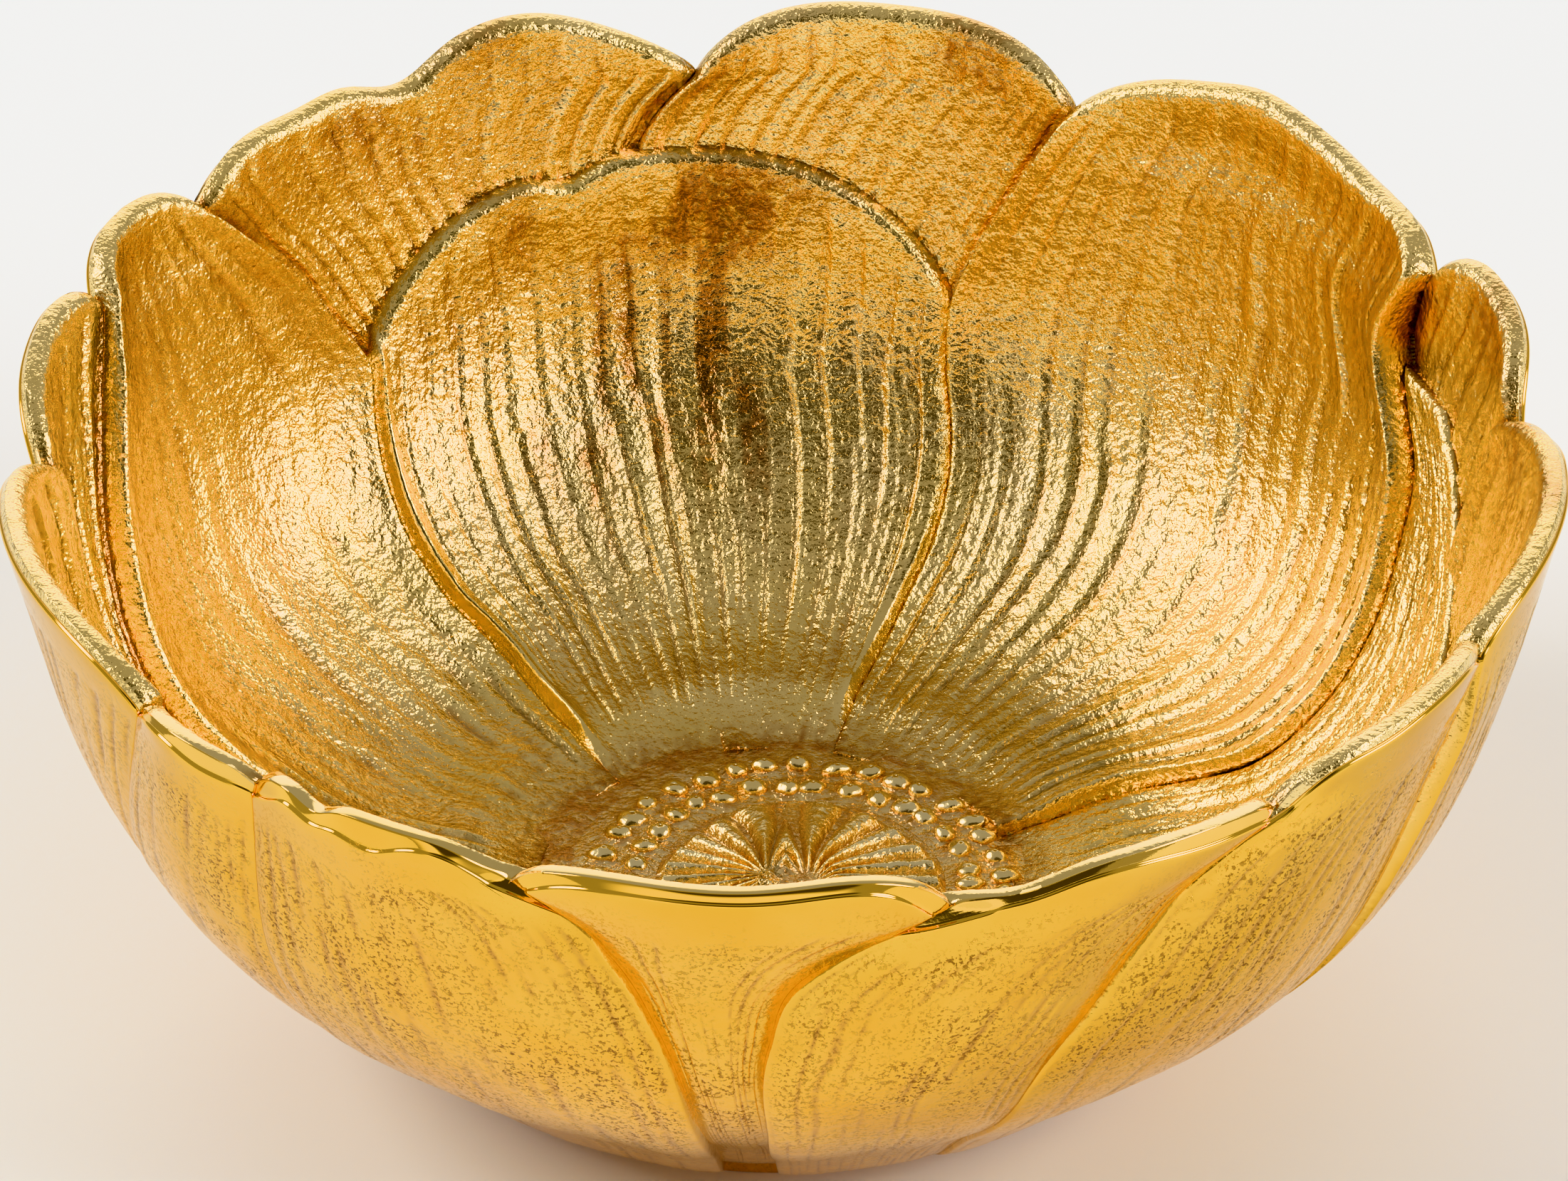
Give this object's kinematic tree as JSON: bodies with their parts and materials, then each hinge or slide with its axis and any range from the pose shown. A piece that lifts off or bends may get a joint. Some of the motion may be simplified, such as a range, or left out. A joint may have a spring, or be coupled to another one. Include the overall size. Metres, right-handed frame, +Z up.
{
  "type": "flower bowl",
  "caption": "Small gold-finished cast metal bowl shaped as an open flower, with overlapping veined petals, a beaded ribbed heart in the floor and a low ring foot.",
  "frame": {"origin": "centre of the foot's resting face", "axes": "+Z up through the bowl's axis; the tall inner petal stands at the back, towards +Y; +X to the right seen from the front"},
  "size_m": [0.1377, 0.1391, 0.0601],
  "materials": {
    "petal_gold": "satin sand-cast inside, polished outside and at the rim",
    "inner_petal_gold": "satin sand-cast",
    "heart_gold": "satin sand-cast",
    "bead_gold": "satin, worn bright on top",
    "foot_gold": "as cast, linished under"
  },
  "bodies": {
    "root": {"foot_ring": "foot_gold", "bowl_floor": "heart_gold", "flower_centre": "heart_gold", "stamen_beads": "bead_gold", "petal_back_right": "petal_gold", "petal_back_left": "petal_gold", "petal_rear_left": "petal_gold", "petal_left_narrow": "petal_gold", "petal_left": "petal_gold", "petal_front_left": "petal_gold", "petal_front_left_notched": "petal_gold", "petal_front_tucked": "petal_gold", "petal_front_right_broad": "petal_gold", "petal_front_right": "petal_gold", "petal_right": "petal_gold", "petal_right_narrow": "petal_gold", "petal_rear_right": "petal_gold", "inner_petal_back": "inner_petal_gold", "inner_petal_right": "inner_petal_gold"}
  },
  "joints": []
}
